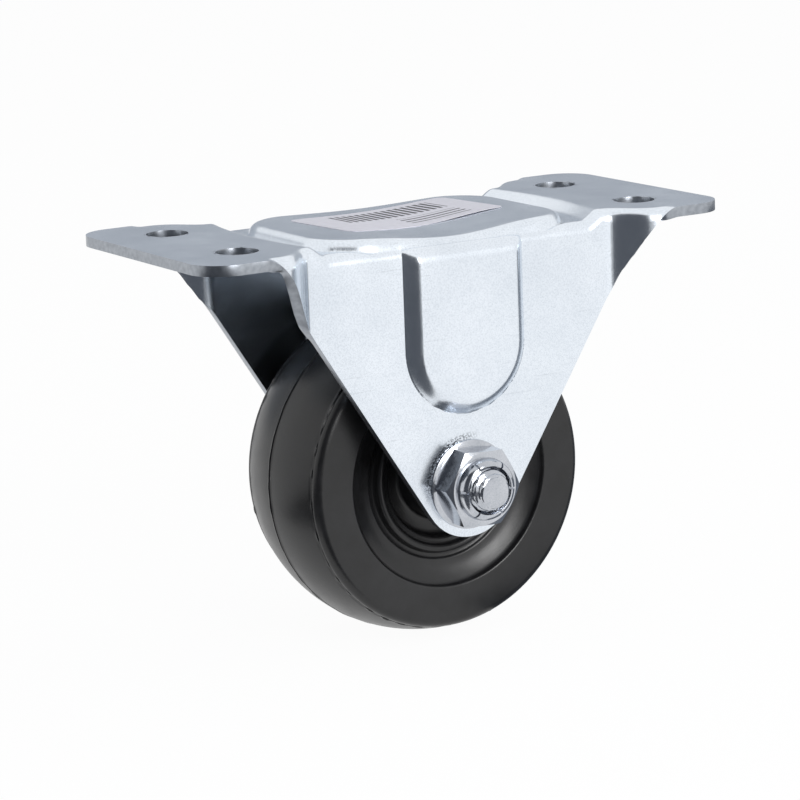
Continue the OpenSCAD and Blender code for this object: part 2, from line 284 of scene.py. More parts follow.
def pressPoint(gx, gy, rows, sections):
    x = rowPlace(abs(gx), rows)
    key = round(x, 5)
    if key not in sections:
        sections[key] = sectionOf(x)
    s = sections[key]
    columns = flatColumns + bendColumns + legColumns
    step = abs(gy) * columns
    bendL = max(s["bend"], min(1.4, 0.6 * (s["bend"] + s["wall"] + s["below"])))
    total = s["bend"] + s["wall"] + s["below"]
    if step <= flatColumns:
        y = s["flatY"] * (1 - (1 - step / flatColumns) ** 1.35)
        z = groundHeight(x, y)
    else:
        if step <= flatColumns + bendColumns:
            length = bendL * (step - flatColumns) / bendColumns
        else:
            length = mix(bendL, total, (step - flatColumns - bendColumns) / legColumns)
        if length <= s["bend"]:
            a = length / s["r"]
            y = s["flatY"] + s["r"] * math.sin(a)
            z = s["flatZ"] - s["r"] * (1 - math.cos(a))
        elif length <= s["bend"] + s["wall"] or s["below"] == 0:
            t = clamp((length - s["bend"]) / s["wall"])
            y = mix(s["foot"][0], s["knee"][0], t)
            z = mix(s["foot"][1], s["knee"][1], t)
        else:
            t = clamp((length - s["bend"] - s["wall"]) / s["below"])
            y = mix(s["knee"][0], s["end"][0], t)
            z = mix(s["knee"][1], s["end"][1], t)
    y += padOut(x, z)
    z += crownHeight(x, math.copysign(y, gy))
    return Vector((math.copysign(x, gx), math.copysign(y, gy), z))


def nearFeature(p):
    # The bands that need finer faces: the pads' walls and the crown's foot
    if abs(p.y) > foldY and abs(p.x) < padForm["width"] / 2 + 0.6:
        centreZ = axleZ + padForm["rise"]
        reach = abs(p.x) if p.z > centreZ else math.hypot(p.x, p.z - centreZ)
        inset = padForm["width"] / 2 - reach
        if -0.6 < inset < padForm["wall"] * 1.3 and p.z < -1:
            return True
    inset = insideRounded(p.x, p.y, crownHalfL, crownHalfW, sheetForm["crownCorner"])
    return -0.7 < inset < sheetForm["crownWall"] and abs(p.x) > crownHalfL - sheetForm["crownCorner"] - 2 and abs(p.y) < legY - 1


def openHole(obj, centre, across, radius):
    # Clears the faces over a hole and draws its round rim in from the gap. across holds
    # the two axes of the plane that the hole is in.
    third = 3 - sum(across)

    def gap(p):
        return math.hypot(p[across[0]] - centre[across[0]], p[across[1]] - centre[across[1]])

    bm = editMode(obj, "FACE")
    for face in bm.faces:
        mid = face.calc_center_median()
        face.select = gap(mid) < radius + 0.9 and abs(mid[third] - centre[third]) < 1
    bpy.ops.mesh.delete(type="FACE")
    for rim in (radius + 0.45, radius):
        bm = editMode(obj, "EDGE")
        for edge in bm.edges:
            mid = (edge.verts[0].co + edge.verts[1].co) / 2
            edge.select = edge.is_boundary and gap(mid) < radius + 3 and abs(mid[third] - centre[third]) < 1
        bpy.ops.mesh.extrude_edges_move()
        for vert in bm.verts:
            if vert.select:
                away = Vector(vert.co) - Vector(centre)
                away[third] = 0
                vert.co = Vector(centre) + away.normalized() * rim
    bmesh.update_edit_mesh(obj.data)
    objectMode()


def buildFrame():
    rows = sum(count for reach, count in rowBands) + 3
    columns = flatColumns + bendColumns + legColumns
    bpy.ops.mesh.primitive_grid_add(x_subdivisions=2 * (rows + cornerRows), y_subdivisions=2 * columns, size=2)
    sheet = bpy.context.object
    sheet.name = "pressed_frame"
    sections = {}
    bm = editMode(sheet, "FACE")
    for face in bm.faces:
        mid = face.calc_center_median()
        face.select = nearFeature(pressPoint(mid.x, mid.y, rows, sections))
    bpy.ops.mesh.subdivide(number_cuts=2)
    for vert in bm.verts:
        vert.co = pressPoint(vert.co.x, vert.co.y, rows, sections)
    bmesh.update_edit_mesh(sheet.data)
    objectMode()
    print("pressed sheet:", len(sheet.data.polygons), "faces")
    bolts = frame["record"]["mounts"][0]["dims"]
    for sx in (-1, 1):
        for sy in (-1, 1):
            centre = (sx * bolts["spacing_x_mm"] / 2, sy * bolts["spacing_y_mm"] / 2, 0)
            openHole(sheet, centre, (0, 1), sheetForm["boltHole"] / 2)
    for side in (-1, 1):
        openHole(sheet, (0, side * legY, axleZ), (0, 2), sheetForm["axleHole"] / 2)
    # Two slots: the plated faces, and the sheared rim of the sheet
    for i in range(2):
        sheet.data.materials.append(None)
    addModifier(sheet, "SOLIDIFY", thickness=sheetForm["thickness"], offset=-1, material_offset_rim=1)
    addModifier(sheet, "BEVEL", width=sheetForm["rollOver"], segments=3, limit_method="ANGLE",
                angle_limit=math.radians(50), use_clamp_overlap=True)
    print("frame:", len(sheet.data.polygons), "faces")
    return sheet


# Turned pieces
def spinProfile(name, points, steps):
    # points are (radius, height) from one end of the profile to the other
    mesh = bpy.data.meshes.new(name)
    mesh.from_pydata([(r, 0, h) for r, h in points], [(i, i + 1) for i in range(len(points) - 1)], [])
    obj = bpy.data.objects.new(name, mesh)
    bpy.context.scene.collection.objects.link(obj)
    editMode(obj)
    bpy.ops.mesh.select_all(action="SELECT")
    bpy.ops.mesh.spin(steps=steps, angle=2 * math.pi, center=(0, 0, 0), axis=(0, 0, 1))
    bpy.ops.mesh.select_all(action="SELECT")
    bpy.ops.mesh.remove_doubles(threshold=0.001)
    bpy.ops.mesh.normals_make_consistent(inside=False)
    objectMode()
    return obj


def arcPoints(centreR, centreH, radius, start, end, count):
    step = (end - start) / count
    angles = [math.radians(start + step * i) for i in range(count + 1)]
    return [(centreR + radius * math.cos(a), centreH + radius * math.sin(a)) for a in angles]


wheelForm = dict(
    treadCrown=2.75,
    shoulderWidth=2.2,
    shoulderIn=2.0,
    recessRadius=25.6,
    recessDepth=3.3,
    webRadius=19.6,
    beadRadius=17.8,
    wellRadius=14.6,
    wellDepth=6.0,
    hubRadius=10.0,
    width=32.8,
    partingLip=0.13,
    partingDepth=0.42,
    flashHeight=0.34,
    steps=360,
)


def wheelSide():
    # The near half of the wheel's outline, from the parting line to the bore
    w = wheelForm
    r0 = wheelHigh.x / mm
    y1 = w["width"] / 2
    y0 = y1 - w["shoulderWidth"]
    big = (y0 * y0 + w["treadCrown"] ** 2) / (2 * w["treadCrown"])
    r1 = r0 - w["treadCrown"]
    floorY = y1 - w["recessDepth"]

    def tread(y):
        return r0 - big + math.sqrt(big * big - y * y)

    points = [(r0 - w["partingDepth"], 0), (r0 - 0.12, 0.24), (r0 + w["partingLip"], 0.36), (r0 + 0.02, 0.6),
              (tread(0.9), 0.9)]
    points += [(tread(y), y) for y in np.linspace(1.2, y0 - 0.9, 12)]
    points += [(tread(y0 - 0.45), y0 - 0.45), (r1 + w["flashHeight"], y0 - 0.22), (r1 + w["flashHeight"], y0 - 0.08),
               (r1 - 0.12, y0 + 0.08)]
    points += [(r1 - w["shoulderIn"] * (1 - math.cos(a)), y0 + w["shoulderWidth"] * math.sin(a))
               for a in np.radians([14, 25, 36, 48, 60, 72, 82, 90])]
    lip = w["recessRadius"]
    web = w["webRadius"]
    # Under a short steep lip the recess is a dish that flattens towards the web
    points += [(mix(r1 - w["shoulderIn"], lip, 0.5), y1), (lip + 0.4, y1), (lip + 0.12, y1 - 0.05), (lip - 0.08, y1 - 0.25),
               (lip - 0.25, y1 - 0.7), (lip - 0.5, y1 - 1.1), (lip - 1.0, y1 - 1.45), (lip - 2.2, y1 - 2.15),
               (lip - 3.4, y1 - 2.75), (lip - 4.6, y1 - 3.15), (web + 0.4, floorY + 0.02), (web + 0.1, floorY - 0.05),
               (web - 0.1, floorY - 0.3), (web - 0.4, floorY - 0.6)]
    bead = w["beadRadius"]
    points += [(bead + 0.6, floorY - 0.62), (bead + 0.25, floorY - 0.2)]
    points += arcPoints(bead - 0.75, floorY + 0.4, 0.95, 0, 180, 10)
    well = w["wellRadius"]
    points += [(well + 1.1, floorY + 0.1), (well + 0.5, floorY + 0.02), (well + 0.15, floorY - 0.1), (well, floorY - 0.35),
               (well - 0.4, y1 - w["wellDepth"] + 0.8), (well - 0.8, y1 - w["wellDepth"] + 0.2),
               (well - 1.4, y1 - w["wellDepth"])]
    hub = w["hubRadius"]
    hubY = min(sleeveHigh.y / mm - 0.5, 22)
    points += [(hub + 1.2, y1 - w["wellDepth"]), (hub + 0.5, y1 - w["wellDepth"] + 0.2), (hub + 0.2, y1 - w["wellDepth"] + 0.8),
               (hub - 0.3, hubY - 0.6), (hub - 0.5, hubY - 0.2), (hub - 0.9, hubY)]
    bore = sleeveHigh.x / mm + 0.05
    points += [(bore + 0.3, hubY), (bore, hubY - 0.3)]
    return points


def buildWheel():
    side = wheelSide()
    outline = side[::-1] + [(r, -h) for r, h in side[1:]]
    outline.append(outline[0])
    wheel = spinProfile("rubber_wheel", outline, wheelForm["steps"])
    wheel.name = "rubber_wheel"
    # The flash left by the mould is torn and ragged, and the parting line wanders a little
    r0 = wheelHigh.x / mm
    flashR = r0 - wheelForm["treadCrown"]
    flashY = wheelForm["width"] / 2 - wheelForm["shoulderWidth"] - 0.15
    wander = [random.uniform(0, 2 * math.pi) for i in range(60)]
    for vert in wheel.data.vertices:
        r = math.hypot(vert.co.x, vert.co.y)
        angle = math.atan2(vert.co.y, vert.co.x)
        side = 1 if vert.co.z > 0 else -1
        if abs(abs(vert.co.z) - flashY) < 0.12 and r > flashR + 0.2:
            torn = sum(math.sin(angle * k + side * wander[k]) for k in range(31, 59, 3)) / 3
            slow = sum(math.sin(angle * k + side * wander[k]) for k in range(2, 8)) / 3
            height = clamp(0.3 + 0.35 * slow + 0.3 * torn)
            scale = (r - (1 - height) * wheelForm["flashHeight"]) / r
            vert.co.x *= scale
            vert.co.y *= scale
            vert.co.z += side * 0.12 * torn * height
        if abs(vert.co.z) < 0.5 and r > r0 - 0.5:
            ragged = sum(math.sin(angle * k + wander[k]) for k in range(17, 50, 4)) / 5
            vert.co.z += 0.1 * math.sin(angle * 3 + 1) + 0.06 * ragged
            if r > r0 + 0.05:
                scale = (r - wheelForm["partingLip"] * clamp(0.4 + 0.6 * ragged)) / r
                vert.co.x *= scale
                vert.co.y *= scale
    print("wheel:", len(wheel.data.polygons), "faces")
    ontoAxle(wheel)
    return wheel


# The fasteners
boltForm = dict(diameter=10.0, endRadius=3.6, endChamfer=2.6, pitch=1.5, threadDepth=0.8, threadStart=2.5,
                ringsPerTurn=12, headFlats=17.0, turn=-3.0)
nutForm = dict(flats=17.0, faceRadius=10.3, faceThickness=0.8, hexHeight=5.6, collarRadius=7.1, height=8.8, slit=0.5)


def hexBlock(name, flats, low, high, chamferR, turn, chamfer=30, bothEnds=False):
    # A hexagon whose corners are cut by a cone, as forging and turning leave them
    corner = flats / 2 / math.cos(math.radians(30))
    bpy.ops.mesh.primitive_cylinder_add(vertices=6, radius=corner, depth=high - low, location=(0, 0, (low + high) / 2))
    block = bpy.context.object
    block.name = name
    block.data.transform(block.matrix_world)
    block.matrix_world = Matrix.Identity(4)
    block.data.transform(Matrix.Rotation(math.radians(turn), 4, "Z"))
    slope = math.tan(math.radians(chamfer))
    far = corner * 1.4
    profile = [(0, low - 1), (far, low - 1), (far, high - (far - chamferR) * slope), (chamferR, high), (0, high)]
    cone = spinProfile(name + "_cone", profile, 120)
    addModifier(block, "BOOLEAN", object=cone, operation="INTERSECT", solver="EXACT")
    bpy.data.objects.remove(cone)
    return block


def joinInto(target, others):
    deselectAll()
    for other in others:
        other.select_set(True)
    target.select_set(True)
    bpy.context.view_layer.objects.active = target
    bpy.ops.object.join()
    return target


def unite(target, other):
    addModifier(target, "BOOLEAN", object=other, operation="UNION", solver="EXACT")
    bpy.data.objects.remove(other)


def buildBolt():
    # The shank is turned with a ring every twelfth of a pitch, and its thread is then
    # cut by moving each point in to the helix and the end's chamfer
    b = boltForm
    tip = -boltLow.y / mm
    headTop = boltHigh.y / mm
    outer = b["diameter"] / 2
    start = legY + b["threadStart"]
    rings = int((tip - start) / b["pitch"] * b["ringsPerTurn"])
    profile = [(0, -headTop + 1), (outer, -headTop + 1)]
    profile += [(outer, mix(start, tip - 0.02, i / rings)) for i in range(rings + 1)]
    profile += [(b["endRadius"] - 0.25, tip), (0, tip)]
    shank = spinProfile("bolt_with_thread", profile, 144)
    for vert in shank.data.vertices:
        r = math.hypot(vert.co.x, vert.co.y)
        if vert.co.z < start + 0.01 or r < outer - 0.1:
            continue
        turnPart = math.atan2(vert.co.y, vert.co.x) / (2 * math.pi)
        phase = (vert.co.z / b["pitch"] - turnPart) % 1
        crest = smooth((abs(2 * phase - 1) - 0.15) / 0.6) * smooth((vert.co.z - start) / b["pitch"])
        capped = mix(b["endRadius"], outer, clamp((tip - vert.co.z) / b["endChamfer"]))
        target = max(capped - b["threadDepth"] * (1 - crest), b["endRadius"] - 0.25)
        vert.co.x *= target / r
        vert.co.y *= target / r
    head = hexBlock("bolt_head", b["headFlats"], legY, headTop, b["headFlats"] / 2 * 0.95, b["turn"] + 30)
    head.data.transform(Matrix.Rotation(math.pi, 4, "X"))
    addModifier(head, "BEVEL", width=0.15, segments=2, limit_method="ANGLE", angle_limit=math.radians(25))
    bolt = joinInto(shank, [head])
    print("bolt:", len(bolt.data.polygons), "faces")
    ontoAxle(bolt)
    return bolt


def buildNut():
    n = nutForm
    top = n["faceThickness"] + n["hexHeight"]
    block = hexBlock("flange_lock_nut", n["flats"], 0.1, top, n["flats"] / 2 * 0.97, boltForm["turn"] + 30)
    face = spinProfile("washer_face", [(0, 0), (n["faceRadius"] - 0.1, 0), (n["faceRadius"], 0.15),
                                       (n["faceRadius"] - 0.05, 0.45), (n["faceRadius"] - 0.9, n["faceThickness"]),
                                       (0, n["faceThickness"] + 0.1)], 120)
    r = n["collarRadius"]
    h = n["height"]
    collar = spinProfile("collar", [(0, top - 1), (r + 0.35, top - 1), (r + 0.35, top - 0.15), (r + 0.1, top + 0.05), (r, top + 0.35),
                                    (r - 0.1, h - 1.2), (r - 0.35, h - 0.65), (r - 0.75, h - 0.2), (r - 1.2, h),
                                    (r - 1.6, h - 0.1), (0, h - 0.12)], 120)
    unite(block, face)
    unite(block, collar)
    bore = spinProfile("nut_bore", [(0, -1), (5.06, -1), (5.06, top + 0.6), (5.6, top + 1.0), (5.55, h - 0.35), (5.75, h + 1), (0, h + 1)], 96)
    addModifier(block, "BOOLEAN", object=bore, operation="DIFFERENCE", solver="EXACT")
    bpy.data.objects.remove(bore)
    for i in range(3):
        bpy.ops.mesh.primitive_cube_add(size=1, location=(0, 0, h - 0.3))
        slit = bpy.context.object
        slit.scale = (2 * r + 4, n["slit"], 2.4)
        slit.rotation_euler = (0, 0, math.radians(60 * i + boltForm["turn"]))
        addModifier(block, "BOOLEAN", object=slit, operation="DIFFERENCE", solver="EXACT")
        bpy.data.objects.remove(slit)
    addModifier(block, "BEVEL", width=0.12, segments=2, limit_method="ANGLE", angle_limit=math.radians(28))
    print("nut:", len(block.data.polygons), "faces")
    block.data.transform(Matrix.Translation((0, 0, legY)))
    ontoAxle(block)
    return block


# The paper label, laid over the crown. It spans the hollow a little at its near right edge.
labelForm = dict(length=45.3, width=23.6, centre=(1.0, 4.8), turn=7.3, thickness=0.1, corner=2.2,
                 lift=0.2, liftPlace=(15.0, -6.2), liftReach=(9.0, 4.0))


def buildLabel():
    f = labelForm
    bpy.ops.mesh.primitive_grid_add(x_subdivisions=90, y_subdivisions=48, size=2)
    label = bpy.context.object
    label.name = "crown_label"
    turn = Matrix.Rotation(math.radians(f["turn"]), 4, "Z")
    halfL = f["length"] / 2
    halfW = f["width"] / 2
    for vert in label.data.vertices:
        x = vert.co.x * halfL
        y = vert.co.y * halfW
        # Points past a corner's arc are drawn back onto it
        outX = abs(x) - halfL + f["corner"]
        outY = abs(y) - halfW + f["corner"]
        if outX > 0 and outY > 0 and math.hypot(outX, outY) > f["corner"]:
            back = f["corner"] / math.hypot(outX, outY)
            x = math.copysign(halfL - f["corner"] + outX * back, x)
            y = math.copysign(halfW - f["corner"] + outY * back, y)
        p = turn @ Vector((x, y, 0))
        x = p.x + f["centre"][0]
        y = p.y + f["centre"][1]
        away = ((x - f["liftPlace"][0]) / f["liftReach"][0]) ** 2 + ((y - f["liftPlace"][1]) / f["liftReach"][1]) ** 2
        z = groundHeight(x, y) + crownHeight(x, y) + f["thickness"] + f["lift"] * math.exp(-away)
        vert.co = Vector((x, y, z))
    addModifier(label, "SOLIDIFY", thickness=f["thickness"] * 0.8, offset=-1)
    return label


# Materials
def hexColour(text):
    parts = [int(text[i:i + 2], 16) / 255 for i in (1, 3, 5)]
    return tuple(c / 12.92 if c <= 0.04045 else ((c + 0.055) / 1.055) ** 2.4 for c in parts) + (1,)


def addNode(tree, kind, links=None, **settings):
    node = tree.nodes.new(kind)
    for key, value in settings.items():
        if key.isdigit():
            node.inputs[int(key)].default_value = value
        elif key in node.inputs:
            node.inputs[key].default_value = value
        else:
            setattr(node, key, value)
    for socket, source in (links or {}).items():
        tree.links.new(source, node.inputs[socket])
    return node


def newMaterial(name):
    material = bpy.data.materials.new(name)
    material.use_nodes = True
    tree = material.node_tree
    place = addNode(tree, "ShaderNodeTexCoord").outputs["Object"]
    return material, tree, tree.nodes["Principled BSDF"], place


def twoTone(tree, source, low, high, dark, light):
    # A ramp from one colour to another between two levels of a pattern
    ramp = addNode(tree, "ShaderNodeValToRGB", {"Fac": source})
    for element, position, colour in zip(ramp.color_ramp.elements, (low, high), (dark, light)):
        element.position = position
        element.color = hexColour(colour)
    return ramp.outputs["Color"]


def remap(tree, source, low, high, first, last):
    node = addNode(tree, "ShaderNodeMapRange", {"Value": source}, **{"From Min": low, "From Max": high})
    node.inputs["To Min"].default_value = first
    node.inputs["To Max"].default_value = last
    return node.outputs["Result"]


def nutShadeRing(tree, place):
    # Painted shade that the nut's serrated flange casts on the plate: a band of dark
    # specks, thickest on the upper left, on the leg's outer face alone
    centred = addNode(tree, "ShaderNodeMapping", {"Vector": place}, Scale=(1, 0, 1))
    centred.inputs["Location"].default_value = (0, 0, -axleZ * mm)
    gap = addNode(tree, "ShaderNodeVectorMath", {0: centred.outputs[0]}, operation="LENGTH").outputs["Value"]
    inner = remap(tree, gap, 10.0 * mm, 10.3 * mm, 0, 1)
    outer = remap(tree, gap, 11.1 * mm, 12.2 * mm, 1, 0)
    band = addNode(tree, "ShaderNodeMath", {0: inner, 1: outer}, operation="MULTIPLY").outputs[0]
    split = addNode(tree, "ShaderNodeSeparateXYZ", {"Vector": centred.outputs[0]})
    side = addNode(tree, "ShaderNodeMath", {0: split.outputs["Z"], 1: split.outputs["X"]}, operation="SUBTRACT").outputs[0]
    # Painted shade: kept to the upper left, the side where the shade falls
    upperLeft = remap(tree, side, 8 * mm, 14 * mm, 0, 1)
    depth = addNode(tree, "ShaderNodeSeparateXYZ", {"Vector": place}).outputs["Y"]
    outside = remap(tree, depth, -(legY - 0.4) * mm, -(legY - 0.1) * mm, 0, 1)
    speck = addNode(tree, "ShaderNodeTexNoise", {"Vector": place}, Scale=1 / (0.4 * mm), Detail=2.0)
    dots = remap(tree, speck.outputs["Fac"], 0.46, 0.54, 0, 1)
    level = band
    for part in (upperLeft, outside, dots):
        level = addNode(tree, "ShaderNodeMath", {0: level, 1: part}, operation="MULTIPLY").outputs[0]
    return level


def zincPlate(name, roughness, cloudSize, light, dark, marked=0.0, nutShaded=False):
    # Bright zinc plate over rolled steel: soft cloudy reflections with a fine grain,
    # a few pinhead specks and short faint scratches, and where asked a ring of painted shade round the nut
    material, tree, shader, place = newMaterial(name)
    cloud = addNode(tree, "ShaderNodeTexNoise", {"Vector": place}, Scale=1 / (cloudSize * mm), Detail=5.0,
                    Roughness=0.6).outputs["Fac"]
    grit = addNode(tree, "ShaderNodeTexNoise", {"Vector": place}, Scale=1 / (0.35 * mm), Detail=2.0).outputs["Fac"]
    base = twoTone(tree, cloud, 0.3, 0.7, dark, light)
    grain = twoTone(tree, grit, 0.3, 0.6, "#f1f2f3", "#ffffff")
    base = addNode(tree, "ShaderNodeMix", {"A": base, "B": grain}, data_type="RGBA", blend_type="MULTIPLY",
                   Factor=1.0).outputs["Result"]
    # Specks about 0.4 mm across and 6 mm apart
    cells = addNode(tree, "ShaderNodeTexVoronoi", {"Vector": place}, Scale=1 / (6 * mm))
    speck = remap(tree, cells.outputs["Distance"], 0.03, 0.06, 1, 0)
    # Scratches a tenth of a millimetre wide and a few long, drawn as wide as they need to show
    scratchWay = addNode(tree, "ShaderNodeMapping", {"Vector": place}, Scale=(0.09, 1, 1.6))
    scratchWay.inputs["Rotation"].default_value = (0, math.radians(38), math.radians(14))
    scratchNoise = addNode(tree, "ShaderNodeTexNoise", {"Vector": scratchWay.outputs[0]}, Scale=1 / (1.1 * mm),
                           Detail=1.0)
    scratch = remap(tree, scratchNoise.outputs["Fac"], 0.7, 0.76, 0, 1)
    marks = addNode(tree, "ShaderNodeMath", {0: speck, 1: scratch}, operation="MAXIMUM").outputs[0]
    marks = addNode(tree, "ShaderNodeMath", {0: marks}, operation="MULTIPLY", **{"1": marked}).outputs[0]
    # The ring of painted shade round the nut joins the real specks and scratches here and takes their dark colour
    if nutShaded:
        marks = addNode(tree, "ShaderNodeMath", {0: marks, 1: nutShadeRing(tree, place)}, operation="MAXIMUM").outputs[0]
    wornAndShaded = addNode(tree, "ShaderNodeMix", {"Factor": marks, "A": base}, data_type="RGBA")
    wornAndShaded.inputs["B"].default_value = hexColour("#3c3f45")
    tree.links.new(wornAndShaded.outputs["Result"], shader.inputs["Base Color"])
    shader.inputs["Metallic"].default_value = 1.0
    tree.links.new(remap(tree, cloud, 0.3, 0.75, roughness - 0.04, roughness + 0.06), shader.inputs["Roughness"])
    wave = addNode(tree, "ShaderNodeTexNoise", {"Vector": place}, Scale=1 / (11 * mm), Detail=1.5)
    fine = addNode(tree, "ShaderNodeBump", {"Height": grit}, Strength=0.2, Distance=0.00002)
    bump = addNode(tree, "ShaderNodeBump", {"Height": wave.outputs["Fac"], "Normal": fine.outputs["Normal"]},
                   Strength=0.15, Distance=0.0003)
    tree.links.new(bump.outputs["Normal"], shader.inputs["Normal"])
    return material


def shearedSteel():
    # The sheet's cut rim: plated too, but torn by the shear, so it scatters light
    material, tree, shader, place = newMaterial("zinc plate over a sheared edge")
    tear = addNode(tree, "ShaderNodeTexNoise", {"Vector": place}, Scale=1 / (1.1 * mm), Detail=2.0).outputs["Fac"]
    tree.links.new(twoTone(tree, tear, 0.3, 0.7, "#93989f", "#a8adb4"), shader.inputs["Base Color"])
    shader.inputs["Metallic"].default_value = 1.0
    shader.inputs["Roughness"].default_value = 0.32
    bump = addNode(tree, "ShaderNodeBump", {"Height": tear}, Strength=0.15, Distance=0.00003)
    tree.links.new(bump.outputs["Normal"], shader.inputs["Normal"])
    return material


def hardRubber():
    # Moulded hard rubber: near black and satin, with a faint grain and bloom from the mould
    material, tree, shader, place = newMaterial("moulded hard rubber")
    bloom = addNode(tree, "ShaderNodeTexNoise", {"Vector": place}, Scale=1 / (7 * mm), Detail=6.0,
                    Roughness=0.65).outputs["Fac"]
    tree.links.new(twoTone(tree, bloom, 0.35, 0.75, "#0f0f10", "#1b1b1d"), shader.inputs["Base Color"])
    tree.links.new(remap(tree, bloom, 0.3, 0.7, 0.28, 0.36), shader.inputs["Roughness"])
    grain = addNode(tree, "ShaderNodeTexNoise", {"Vector": place}, Scale=1 / (0.45 * mm), Detail=4.0).outputs["Fac"]
    bump = addNode(tree, "ShaderNodeBump", {"Height": grain}, Strength=0.3, Distance=0.00004)
    tree.links.new(bump.outputs["Normal"], shader.inputs["Normal"])
    return material


# Plain ruled bars and lines on the label, in millimetres from its middle
printForm = dict(barStep=1.9, barFill=0.54, barsFrom=-13.1, barsTo=15.6, barsLow=0.6, barsHigh=9.2,
                 lineStep=2.1, lineFill=0.34, linesFrom=-2.0, linesTo=15.5, linesLow=-8.2, linesHigh=-1.9)


def between(tree, value, low, high):
    above = addNode(tree, "ShaderNodeMath", {0: value}, operation="GREATER_THAN", **{"1": low * mm}).outputs[0]
    below = addNode(tree, "ShaderNodeMath", {0: value}, operation="LESS_THAN", **{"1": high * mm}).outputs[0]
    return addNode(tree, "ShaderNodeMath", {0: above, 1: below}, operation="MULTIPLY").outputs[0]


def ruled(tree, across, along, step, fill, low, high, first, last):
    # Even stripes every step across a patch
    part = addNode(tree, "ShaderNodeMath", {0: across}, operation="DIVIDE", **{"1": step * mm}).outputs[0]
    part = addNode(tree, "ShaderNodeMath", {0: part}, operation="FRACT").outputs[0]
    ink = addNode(tree, "ShaderNodeMath", {0: part}, operation="LESS_THAN", **{"1": fill}).outputs[0]
    for mask in (between(tree, across, first, last), between(tree, along, low, high)):
        ink = addNode(tree, "ShaderNodeMath", {0: ink, 1: mask}, operation="MULTIPLY").outputs[0]
    return ink


def printedPaper():
    # Coated label paper: white and slightly glossy, with a patch of plain ruled bars and lines
    material, tree, shader, place = newMaterial("coated label paper")
    fibre = addNode(tree, "ShaderNodeTexNoise", {"Vector": place}, Scale=1 / (1.5 * mm), Detail=3.0).outputs["Fac"]
    paperTone = twoTone(tree, fibre, 0.2, 0.8, "#dad8e0", "#e6e4ec")
    # The label's own axes, with its middle as the origin
    f = labelForm
    flat = addNode(tree, "ShaderNodeMapping", {"Vector": place}, vector_type="TEXTURE")
    flat.inputs["Location"].default_value = (f["centre"][0] * mm, f["centre"][1] * mm, 0)
    flat.inputs["Rotation"].default_value = (0, 0, math.radians(f["turn"]))
    axes = addNode(tree, "ShaderNodeSeparateXYZ", {"Vector": flat.outputs[0]})
    alongX = axes.outputs["X"]
    alongY = axes.outputs["Y"]
    p = printForm
    bars = ruled(tree, alongX, alongY, p["barStep"], p["barFill"], p["barsLow"], p["barsHigh"], p["barsFrom"], p["barsTo"])
    lines = ruled(tree, alongY, alongX, p["lineStep"], p["lineFill"], p["linesFrom"], p["linesTo"], p["linesLow"],
                  p["linesHigh"])
    ink = addNode(tree, "ShaderNodeMath", {0: bars, 1: lines}, operation="MAXIMUM").outputs[0]
    inked = addNode(tree, "ShaderNodeMix", {"Factor": ink, "A": paperTone}, data_type="RGBA")
    inked.inputs["B"].default_value = hexColour("#2b2a2f")
    tree.links.new(inked.outputs["Result"], shader.inputs["Base Color"])
    shader.inputs["Roughness"].default_value = 0.4
    return material


# Floor, lights and camera
cameraLook = dict(azimuth=-30.75, elevation=11.865, roll=-2.074, place=(-398.88, -665.62, 120.12), lens=154.16)


def placeCamera():
    c = cameraLook
    bpy.ops.object.camera_add()
    camera = bpy.context.object
    camera.data.lens = c["lens"]
    camera.data.sensor_width = 36
    camera.data.clip_start = 0.05
    camera.matrix_world = (Matrix.Translation(Vector(c["place"]) * mm)
                           @ Matrix.Rotation(math.radians(c["azimuth"]), 4, "Z")
                           @ Matrix.Rotation(math.radians(90 - c["elevation"]), 4, "X")
                           @ Matrix.Rotation(math.radians(c["roll"]), 4, "Z"))
    bpy.context.scene.camera = camera


def addLamp(name, place, target, size, power, colour=(1, 1, 1)):
    bpy.ops.object.light_add(type="AREA", location=[v * mm for v in place])
    lamp = bpy.context.object
    lamp.name = name
    lamp.data.shape = "RECTANGLE"
    lamp.data.size = size[0] * mm
    lamp.data.size_y = size[1] * mm
    lamp.data.energy = power
    lamp.data.color = colour
    aim = Vector(target) - Vector(place)
    lamp.rotation_euler = aim.to_track_quat("-Z", "Y").to_euler()
    return lamp


def seenPart(tree, share):
    # How much of a surface is plain white to the camera, and to what metal and glass show
    path = addNode(tree, "ShaderNodeLightPath")
    seen = path.outputs["Is Camera Ray"]
    for ray in ("Is Glossy Ray", "Is Transmission Ray"):
        seen = addNode(tree, "ShaderNodeMath", {0: seen, 1: path.outputs[ray]}, operation="MAXIMUM").outputs[0]
    return addNode(tree, "ShaderNodeMath", {0: seen}, operation="MULTIPLY", **{"1": share}).outputs[0]


def addCard(name, corners, colour):
    # A card that only reflections show, as a studio's flags are kept out of the picture
    bpy.ops.mesh.primitive_plane_add(size=1)
    card = bpy.context.object
    card.name = name
    for vert, corner in zip(card.data.vertices, corners):
        vert.co = Vector(corner) * mm
    material = bpy.data.materials.new(name)
    material.use_nodes = True
    shader = material.node_tree.nodes["Principled BSDF"]
    shader.inputs["Base Color"].default_value = (0, 0, 0, 1)
    shader.inputs["Specular IOR Level"].default_value = 0
    shader.inputs["Emission Color"].default_value = hexColour(colour)
    shader.inputs["Emission Strength"].default_value = 1.0
    card.data.materials.append(material)
    card.visible_camera = False
    card.visible_diffuse = False
    card.visible_shadow = False


def standing(start, end, low, high):
    return [(*start, low), (*end, low), (*start, high), (*end, high)]


